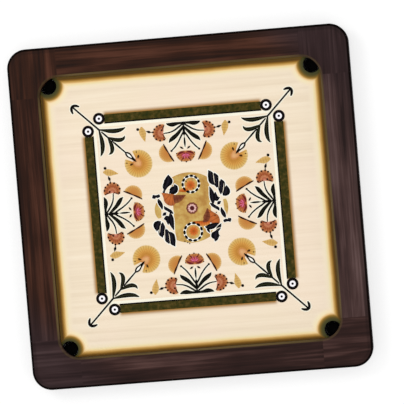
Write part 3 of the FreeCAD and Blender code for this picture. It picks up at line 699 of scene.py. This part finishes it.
def print_side_plants():
    """In the middle of each side a plant: black leaves and stems with red, pink and orange flowers."""
    stems = Print("print_plant_stems", ink("ink_plant_black", BLACK_INK), 6)
    leaves = Print("print_plant_leaves", outlined_ink("ink_plant_leaf", srgb(28, 29, 15), BLACK_INK, 0.25), 5)
    margins = Print("print_plant_margins", ink("ink_plant_pale", PALE_INK, 0.03), 1)
    reds = Print("print_plant_red_flowers", petal_ink("ink_flower_red", [
        (0.0, 224, 160, 134), (0.25, 178, 98, 70), (0.42, 198, 131, 92), (0.62, 158, 80, 44),
        (0.85, 180, 113, 70), (1.0, 222, 168, 116)], 11, 0.6), 4)
    beads = Print("print_plant_beads", ink("ink_bead_brown", srgb(54, 20, 10), 0.25), 5)
    maroon = Print("print_plant_maroon_petals", ink("ink_maroon", srgb(104, 28, 30), 0.25), 6)
    pinks = Print("print_plant_pink_petals", ink("ink_pink", srgb(214, 106, 140), 0.2), 7)
    tans = Print("print_plant_buds", petal_ink("ink_bud_tan", [
        (0.0, 218, 180, 112), (0.5, 202, 160, 88), (1.0, 212, 176, 108)], 7, 0.35), 3)
    oranges = Print("print_plant_orange_flowers", petal_ink("ink_flower_orange", [
        (0.0, 192, 122, 60), (0.45, 198, 134, 66), (0.8, 202, 148, 78), (1.0, 222, 186, 124)], 13, 0.3), 3)
    roses = Print("print_plant_roses", petal_ink("ink_rose", [
        (0.0, 206, 92, 118), (0.3, 168, 62, 70), (0.6, 176, 96, 56), (0.9, 190, 126, 70),
        (1.0, 212, 164, 110)], 7, 0.6), 4)
    for quarter in range(4):
        middle = turned(quarter)
        brush(stems, margins, [(0, 224, 2.4), (0, 212, 2.2), (0, 202, 3.2), (0, 194, 3.0),
                               (0, 189, 1.2)], middle)
        brush(stems, margins, [(0, 186, 0.8), (0, 178, 2.2), (0, 168, 2.3), (0, 158, 0.5)], middle)
        for place in (turned(quarter), turned(quarter, True)):
            for stem, leaf in zip(PLANT_STEMS, PLANT_LEAVES):
                brush(leaves, margins, leaf, place)
                brush(stems, margins, stem, place)
            dot(stems, (36.4, 151.4), 2.8, place)
            blade(stems, [(5, 154.4, 0.4), (9.4, 157.6, 2.4), (13.6, 160.4, 0.4)], place)
            patch(reds, (54, 201), PLANT_FLOWER, place)
            for spot in PLANT_DOTS:
                dot(beads, spot, 2.6, place)
            blade(beads, [(50.5, 219.5, 1.0), (53.5, 214, 1.5), (55.4, 208.5, 0.6)], place)
            blade(beads, [(56, 196.5, 0.6), (53, 191, 1.1), (49.5, 184, 0.8)], place)
            blade(stems, [(82, 203.8, 1.0), (88, 204.2, 1.0)], place)
            blade(stems, [(86.6, 203.8, 0.8), (91.6, 205.4, 3.2), (99, 207.8, 0.4)], place)
            blade(tans, [(110, 218.5, 3.0), (109.5, 211, 8.0), (107.5, 201, 8.4), (106, 192, 5.2),
                         (103.4, 181.5, 0.8)], place)
            dot(stems, (120.2, 214.3), 3.7, place)
            fan(oranges, (45.5, 147), 24.5, place, start=-118, sweep=180)
            blade(beads, [(56, 170, 1.3), (51, 158.5, 2.4), (45, 147, 1.4), (39, 135, 2.3),
                          (32.6, 124.5, 1.4)], place)
            patch(roses, (0, 139), PLANT_ROSE, place)
            for plate, spine in (
                    (maroon, [(3, 145.6, 0.6), (10, 146, 2.6), (17, 142.6, 2.2), (22, 138.6, 0.6)]),
                    (maroon, [(2.5, 132.4, 0.5), (7.5, 129.6, 1.6), (12.6, 125.4, 0.5)]),
                    (pinks, [(1, 140.4, 0.5), (5, 138.4, 2.0), (9.6, 135, 0.6)]),
                    (pinks, [(1.5, 136.6, 0.5), (3.6, 132.6, 1.1), (4.6, 128.6, 0.4)])):
                blade(plate, spine, place)
            for spot in ((23.6, 143.4), (20.4, 132), (12, 122.8), (3.6, 140.8)):
                dot(beads, spot, 1.6, place)
        dot(beads, (0, 120.4), 2.0, middle)
    finish_all(stems, leaves, margins, reds, beads, maroon, pinks, tans, oranges, roses)


MEDALLION = (4.0, -2.5)
MEDALLION_RADIUS = 92.0
BELT = (-44.0, 54.0)
BEADS = 11
WING = ([(55.5, 93, 0.6), (60, 84, 5.4), (62, 74, 6.8), (63, 64, 6.4), (66.5, 56, 2.6)],
        [(71, 84, 1.2), (73, 76, 5.4), (74, 66, 6.0), (74, 56, 5.6), (74.5, 48, 1.8)],
        [(87, 67, 0.8), (88, 58, 6.2), (86, 48, 6.8), (84, 38, 4.6), (83, 29, 1.0)],
        [(100, 49.5, 0.8), (99, 42, 6.0), (97, 34, 8.4), (92, 28, 5.4), (88.5, 25, 0.8)])
WING_GAPS = ([(67.2, 84, 0.2), (68, 77, 0.7), (68.4, 65, 0.7), (69.8, 57, 0.2)],
             [(80.2, 74, 0.2), (80.6, 65, 0.7), (79.8, 53, 0.7), (79.2, 45, 0.2)],
             [(93.6, 56, 0.2), (92.4, 49, 0.7), (90.4, 39, 0.7), (88, 32, 0.2)])
UNDER_WING = ([(-53, -11.5, 2.3), (-52.6, -22, 5.7), (-52, -34, 6.0), (-50, -45, 3.9), (-47.4, -54.5, 1.0)],
              [(-71, -25, 1.0), (-66, -23, 3.9), (-61.8, -22, 4.6), (-61, -30, 4.2), (-61, -39, 1.3)],
              [(-67, 8.4, 1.0), (-64.6, 3, 3.4), (-58, -1.6, 3.4), (-51.6, -6.6, 3.4), (-46.6, -11.4, 1.6)],
              [(-72.4, -14.4, 1.6), (-68, -11.4, 3.9), (-64, -8, 1.0)],
              [(81.5, -7, 1.3), (82.5, -14, 3.6), (85.6, -22, 4.6), (88.8, -30, 3.1), (89.4, -33.5, 0.7)],
              [(86, -42.4, 3.3), (91, -40.6, 3.5), (96, -41, 2.8), (100, -40, 5.2), (103.4, -38.2, 2.3)])
SPRIGS = ([(-50, 89.4, 0.8), (-50.4, 82, 6.0), (-51, 74, 9.4), (-55, 66, 8.4), (-60.6, 58, 6.4),
           (-63, 51, 2.0)],
          [(-35.6, 63, 0.8), (-34.8, 57, 6.0), (-38, 50, 8.6), (-45, 45.4, 7.0), (-51, 42, 1.2)],
          [(-68, 47, 0.8), (-65.4, 46, 2.6), (-60.6, 49.6, 0.6)],
          [(58, -93, 0.8), (60.4, -87, 5.2), (60, -79, 9.6), (62.6, -72.6, 7.6), (67, -67.4, 2.4)],
          [(35, -53.6, 0.8), (44, -54.6, 5.4), (54, -53, 6.2), (64, -49.4, 4.0), (70.4, -47, 0.8)],
          [(40.4, -60.4, 1.6), (43.6, -64.6, 2.6), (46, -69.4, 0.6)],
          [(62.4, -70, 1.2), (68, -62, 4.4), (73, -55, 3.6), (77.4, -48.6, 0.8)])
DOTS = ((-5, 68.8), (12, 49.6), (-66.6, 46), (63.4, -26), (67.4, -18), (-14, -90.6), (-21, -87), (-9, -94))


upright = turned(0)


def half_turned(point):
    """The point opposite, across the medallion's own middle."""
    return (2 * MEDALLION[0] - point[0], 2 * MEDALLION[1] - point[1])


def belt(plate):
    """The part of the medallion's disc between two upright lines."""
    rows = []
    for index in range(25):
        x = BELT[0] + (BELT[1] - BELT[0]) * index / 24
        reach = math.sqrt(MEDALLION_RADIUS ** 2 - x ** 2)
        rows.append([(x, reach * (step / 8 - 1)) for step in range(17)])
    plate.grid(rows)


def fuller(spine, times):
    """The same brush mark, so many times as wide."""
    return [(x, y, half * times) for x, y, half in spine]


def beaded_ring(black, white, centre, radius):
    """A white ring with eleven black beads set round it."""
    rim = radius + 3.0
    fan(white, centre, rim, upright, inner=(radius - 4.2) / rim)
    for index in range(BEADS):
        middle = math.tau * (index + 0.5) / BEADS
        arc = [(centre[0] + radius * math.cos(middle + lean), centre[1] + radius * math.sin(middle + lean),
                half) for lean, half in ((-0.21, 1.2), (-0.12, 2.9), (0.12, 2.9), (0.21, 1.2))]
        blade(black, arc, upright)


def print_medallion():
    """The centre ornament: a gold belt, feathered wings, leafy sprigs, beaded rings and flowers."""
    ground = Print("print_medallion_ground", clouded_ink("ink_ground_gold", 34, srgb(176, 130, 66),
                                                         srgb(194, 156, 86), srgb(205, 178, 106)), 2)
    margins = Print("print_medallion_margins", ink("ink_medallion_pale", WHITE_INK, 0.03), 3)
    feathers = Print("print_medallion_feathers", outlined_ink("ink_feather", srgb(30, 28, 40),
                                                              srgb(5, 4, 8), 0.25), 6)
    black = Print("print_medallion_beads", ink("ink_medallion_black", srgb(8, 5, 4)), 6)
    white = Print("print_medallion_lines", ink("ink_medallion_white", srgb(250, 238, 218), 0.04), 7)
    orange = Print("print_medallion_breasts", petal_ink("ink_breast", [
        (0.0, 160, 92, 46), (0.5, 194, 104, 50), (1.0, 166, 92, 52)], 6, 0.5), 4)
    brown = Print("print_medallion_bodies", petal_ink("ink_body", [
        (0.0, 126, 70, 44), (0.5, 106, 50, 34), (1.0, 140, 84, 50)], 5, 0.5), 5)
    amber = Print("print_medallion_flowers", petal_ink("ink_flower_amber", [
        (0.0, 150, 92, 26), (0.3, 196, 90, 32), (0.7, 206, 118, 52), (1.0, 212, 158, 84)], 9, 0.5), 5)
    heart = Print("print_medallion_heart", petal_ink("ink_heart_red", [
        (0.0, 64, 22, 24), (0.34, 96, 34, 36), (0.48, 240, 206, 200), (0.62, 222, 168, 158),
        (0.78, 96, 38, 34), (1.0, 150, 96, 64)], 10, 0.6), 5)
    belt(ground)
    blade(ground, [(-83, 17, 5), (-84.5, 6, 8), (-84.5, -8, 8), (-82, -20, 5)], upright)
    blade(ground, [(92, 14, 4), (94, 2, 5.5), (94, -12, 5), (92, -25, 3)], upright)

    for marks, times, grow in ((WING, 1.3, 2.5), (UNDER_WING, 1.15, 1.9)):
        for spine in marks:
            for place in (upright, half_turned):
                brush(feathers, margins, fuller(spine, times), place, grow)
    for spine in WING_GAPS:
        for place in (upright, half_turned):
            blade(white, spine, place)
    for spine in SPRIGS:
        brush(feathers, margins, fuller(spine, 1.2), upright, 2.2)

    for plate, spine in (
            (orange, [(-70, 43, 1.4), (-62, 36, 8), (-54, 28, 15), (-46, 25, 17), (-38, 25, 12)]),
            (brown, [(-40, 24.6, 11), (-32, 25.4, 10.4), (-24, 27.4, 8.4), (-17, 30, 5), (-9.6, 33, 0.8)]),
            (orange, [(46, -9, 2), (52, -20, 8), (58, -32, 14.5), (62, -42, 13), (61, -50, 7)]),
            (brown, [(44.6, -6, 1.0), (44, -16, 5.4), (42, -26, 8.6), (38, -35, 7.6), (31, -40, 1.6)]),
            (amber, [(6, -38, 1.4), (20, -43, 6.4), (34, -44, 7.4), (47, -42, 5)]),
            (amber, [(4, 50, 4.0), (-8, 47.6, 6.4), (-18, 46.6, 4.6), (-26, 46, 1.2)]),
            (white, [(-44, 62.6, 0.8), (-52, 56, 2.2), (-61, 47.4, 0.8)]),
            (white, [(75.6, -58, 0.4), (66, -60.6, 0.9), (58, -66, 1.0), (50, -69.6, 0.6)])):
        blade(plate, spine, upright)

    beaded_ring(black, margins, (7, 61), 21.6)
    beaded_ring(black, margins, (3, -64), 23.0)
    fan(amber, (6, 58.4), 13.5, upright, scallop=0.08, petals=9)
    fan(amber, (4, -62), 13.5, upright, scallop=0.08, petals=9)
    fan(heart, (5, -2), 15.4, upright, scallop=0.04, petals=10)
    for spot in DOTS:
        dot(black, spot, 1.5, upright)
    finish_all(ground, margins, feathers, black, white, orange, brown, amber, heart)


# ---------------------------------------------------------------- pocket nets

CORD_RADIUS = 0.75
MESHES_ROUND = 40
NET_ROWS = 16
GATHER_RADIUS = 2.9
GATHER_HEIGHT = 1.95
GATHER_STEPS = 24
HEM_INNER = 23.0
HEM_OUTER = 31.6
HEM_ROUND = 0.4


def net_outline(share):
    """A net's radius and height, from its clamped mouth at 0 down to the gathered middle at 1."""
    points = [Vector((23.9, 14.3)), Vector((24.2, 11.6)), Vector((26.9, 8.2)), Vector((27.2, 5.0)),
              Vector((24.5, 2.7)), Vector((17.0, 1.9)), Vector((9.0, 1.8)), Vector((3.2, 1.9))]
    path = smooth_path(points, 6)
    place = share * (len(path) - 1)
    low = min(int(place), len(path) - 2)
    return path[low].lerp(path[low + 1], place - low)


def tube(mesh, points, radius, closed=False, sides=6):
    """A round cord along points in metres."""
    count = len(points)
    loops = []
    for index, point in enumerate(points):
        if closed:
            ahead = points[(index + 1) % count] - points[index - 1]
        else:
            ahead = points[min(index + 1, count - 1)] - points[max(index - 1, 0)]
        ahead.normalize()
        side = ahead.cross(Vector((0, 0, 1)))
        side = side.normalized() if side.length > 1e-6 else Vector((1, 0, 0))
        over = side.cross(ahead)
        loops.append([mesh.verts.new(point + radius * (side * math.cos(math.tau * k / sides)
                                                       + over * math.sin(math.tau * k / sides)))
                      for k in range(sides)])
    for index in range(count if closed else count - 1):
        first, second = loops[index], loops[(index + 1) % count]
        for k in range(sides):
            mesh.faces.new((first[k], first[(k + 1) % sides], second[(k + 1) % sides], second[k]))
    if not closed:
        mesh.faces.new(loops[0][::-1])
        mesh.faces.new(loops[-1])


def knot_pattern():
    """The points and faces of a small round knot of radius 1."""
    ball = bmesh.new()
    bmesh.ops.create_icosphere(ball, subdivisions=2, radius=1.0)
    pattern = ([vertex.co.copy() for vertex in ball.verts],
               [[vertex.index for vertex in face.verts] for face in ball.faces])
    ball.free()
    return pattern


def stamp(mesh, pattern, matrix):
    """Copy a pattern of points and faces into the mesh."""
    points, faces = pattern
    made = [mesh.verts.new(matrix @ point) for point in points]
    for face in faces:
        mesh.faces.new([made[index] for index in face])


def lathe(mesh, profile, centre, segments=72):
    """A ring turned from a closed profile of (radius, height) in millimetres about a vertical axis."""
    loops = []
    for index in range(segments):
        angle = math.tau * index / segments
        loops.append([mesh.verts.new((centre + Vector((r * math.cos(angle), r * math.sin(angle), z))) * MM)
                      for r, z in profile])
    count = len(profile)
    for index in range(segments):
        first, second = loops[index], loops[(index + 1) % segments]
        for k in range(count):
            mesh.faces.new((first[k], second[k], second[(k + 1) % count], first[(k + 1) % count]))


def make_net(corner, material):
    """A knotted pouch: two families of slanting cords, a knot at each crossing, a hem under the panel."""
    rng = random.Random(corner)
    centre = POCKET * Vector((*CORNERS[corner], 0))
    mesh = bmesh.new()
    pattern = knot_pattern()
    step = math.tau / MESHES_ROUND
    sway = [(rng.uniform(-0.5, 0.5), rng.uniform(-0.4, 0.4)) for _ in range(MESHES_ROUND)]

    def knot(row, column):
        """Where a knot lies; knots of odd rows sit half a mesh further round."""
        share = row / NET_ROWS
        radius, height = net_outline(share)
        angle = (column + (row % 2) / 2) * step
        wander = sway[column % MESHES_ROUND]
        give = math.sin(math.pi * share)
        radius += wander[0] * give
        height += wander[1] * give
        return centre + Vector((radius * math.cos(angle), radius * math.sin(angle), height))

    for column in range(MESHES_ROUND):
        for row in range(NET_ROWS):
            here = knot(row, column)
            for side in ((0, -1) if row % 2 == 0 else (1, 0)):
                there = knot(row + 1, column + side)
                middle = (here + there) / 2
                outwards = (middle - centre) * Vector((1, 1, 0))
                middle += outwards.normalized() * 0.25 - Vector((0, 0, 0.15))
                tube(mesh, [here * MM, middle * MM, there * MM], CORD_RADIUS * MM)
            if row > 0:
                size = (1.25 if row < NET_ROWS - 3 else 0.95) * MM
                shape = Matrix.Translation(here * MM) @ Matrix.Rotation(rng.uniform(0, 3), 4, "Z")
                stamp(mesh, pattern, shape @ Matrix.Diagonal((1.1 * size, 0.85 * size, size, 1.0)))
    gather = []
    for index in range(GATHER_STEPS):
        angle = math.tau * index / GATHER_STEPS
        gather.append((centre + Vector((GATHER_RADIUS * math.cos(angle), GATHER_RADIUS * math.sin(angle),
                                        GATHER_HEIGHT))) * MM)
    tube(mesh, gather, 0.8 * MM, closed=True, sides=8)
    tied = Matrix.Translation((centre + Vector((0, 0, 2.1))) * MM)
    stamp(mesh, pattern, tied @ Matrix.Diagonal((2.7 * MM, 2.7 * MM, 0.9 * MM, 1.0)))
    low, high = RING_HIGH.z + 0.05, PANEL_BOTTOM - 0.05
    hem = [(HEM_INNER, low + HEM_ROUND), (HEM_INNER + HEM_ROUND, low), (HEM_OUTER - HEM_ROUND, low),
           (HEM_OUTER, low + HEM_ROUND), (HEM_OUTER, high - HEM_ROUND), (HEM_OUTER - HEM_ROUND, high),
           (HEM_INNER + HEM_ROUND, high), (HEM_INNER, high - HEM_ROUND)]
    lathe(mesh, hem, centre)
    bmesh.ops.recalc_face_normals(mesh, faces=mesh.faces)
    for face in mesh.faces:
        face.smooth = True
    piece = add_mesh("net_" + corner, mesh, material)
    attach(piece, "root")
    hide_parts("pocket_net_" + corner)


# ---------------------------------------------------------------- finishes on the CAD nodes

def finish_node(name, material):
    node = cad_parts[name]
    node.data.materials.clear()
    node.data.materials.append(material)


def finish_frame():
    """Each rail and corner block has its own figure; the left and back pieces are redder."""
    red = (srgb(27, 11, 5), srgb(51, 25, 13), srgb(82, 47, 33))
    grey = (srgb(34, 20, 19), srgb(66, 46, 44), srgb(98, 76, 74))
    mild = (srgb(27, 13, 11), srgb(48, 28, 25), srgb(82, 57, 53))
    deep = (srgb(24, 9, 4), srgb(45, 21, 11), srgb(76, 43, 30))
    across = math.pi / 2
    pieces = {"rail_back": (red, 0.0), "rail_left": (deep, across), "rail_front": (mild, 0.0),
              "rail_right": (grey, across), "corner_block_back_left": (red, across),
              "corner_block_back_right": (mild, across), "corner_block_front_left": (mild, 0.0),
              "corner_block_front_right": (mild, 0.0)}
    for seed, (name, (tones, turn)) in enumerate(pieces.items(), start=1):
        finish_node(name, stained_wood(name + "_finish", tones, turn, seed))


def finish_underside():
    pine = (srgb(176, 128, 78), srgb(206, 162, 108), srgb(224, 186, 136))
    beech = (srgb(160, 120, 80), srgb(190, 150, 104), srgb(208, 170, 124))
    finish_node("batten_long", plain_wood("batten_long_finish", pine, 0.0, 2.0))
    finish_node("batten_cross", plain_wood("batten_cross_finish", pine, math.pi / 2, 5.0))
    dowel = plain_wood("dowel_finish", beech, 0.0, 8.0)
    zinc = plated_steel("screw_finish", srgb(196, 194, 186), 1.0)
    blued = plated_steel("tack_finish", srgb(84, 86, 96), 2.0)
    plastic = moulded_plastic()
    for corner in CORNERS:
        finish_node("dowels_" + corner, dowel)
        finish_node("pocket_ring_" + corner, plastic)
        finish_node("pocket_tacks_" + corner, blued)
    for side in ("back", "left", "front", "right"):
        finish_node("panel_screws_" + side, zinc)
    for batten in ("long", "cross"):
        finish_node("batten_screws_" + batten, zinc)


# ---------------------------------------------------------------- stage, light and camera

FLOOR_HALF = 20.0
# strength of the floor's painted light, a glow of its own that is no lamp
FLOOR_PAINTED_LIGHT = 0.62
SKY_STRENGTH = 0.86


def make_stage():
    paint = Paint("floor_finish", roughness=0.85, specular=0.15)
    tone = paint.noise(1.2, detail=2)
    paint.colour(paint.ramp(tone, [(0.3, (0.41, 0.41, 0.41, 1)), (0.7, (0.43, 0.43, 0.43, 1))]))
    # painted light: the floor glows with light of its own outside the board, which washes out the board's
    # shadow on it; under the board it does not glow
    paint.shader.inputs["Emission Color"].default_value = (1, 1, 1, 1)
    outside = paint.span(paint.rounded_square(HALF_BOARD, CORNER_ROUND), -40.0, -4.0)
    paint.connect("Emission Strength", paint.times(outside, FLOOR_PAINTED_LIGHT))
    data = bpy.data.meshes.new("floor")
    corners = [(x * FLOOR_HALF, y * FLOOR_HALF, 0) for x, y in ((-1, -1), (1, -1), (1, 1), (-1, 1))]
    data.from_pydata(corners, [], [(0, 1, 2, 3)])
    data.materials.append(paint.material)
    add_object("floor", data)


def area_light(name, place, size, power):
    light = bpy.data.lights.new(name, "AREA")
    light.shape = "DISK"
    light.size = size
    light.energy = power
    lamp = add_object(name, light)
    lamp.location = place
    lamp.rotation_euler = (-Vector(place)).to_track_quat("-Z", "Y").to_euler()


def make_lights():
    world = bpy.data.worlds.new("studio")
    world.use_nodes = True
    background = world.node_tree.nodes["Background"]
    background.inputs["Color"].default_value = (1.0, 1.0, 1.0, 1.0)
    background.inputs["Strength"].default_value = SKY_STRENGTH
    bpy.context.scene.world = world
    area_light("key", (-3.0, 2.2, 3.6), 2.2, 62)
    area_light("fill", (3.2, -2.6, 3.4), 3.0, 18)


def make_camera():
    """A long lens almost straight above, a little to the right, with the board turned in the picture."""
    data = bpy.data.cameras.new("camera")
    data.sensor_width = 36.0
    data.lens = 271.8
    data.clip_start = 0.1
    data.clip_end = 100.0
    camera = add_object("camera", data)
    camera.location = (0.669, 0.209, 7.969)
    camera.rotation_euler = [math.radians(angle) for angle in (-1.793, 4.452, -4.758)]
    bpy.context.scene.camera = camera


make_camera()
make_stage()
make_lights()
finish_node("playing_panel", panel_finish())
finish_frame()
finish_underside()
print_bands()
print_base_circles()
print_corner_sprays()
print_side_plants()
print_medallion()
net_material = net_finish()
for corner_name in CORNERS:
    make_net(corner_name, net_material)
bpy.context.scene.view_settings.view_transform = "Standard"
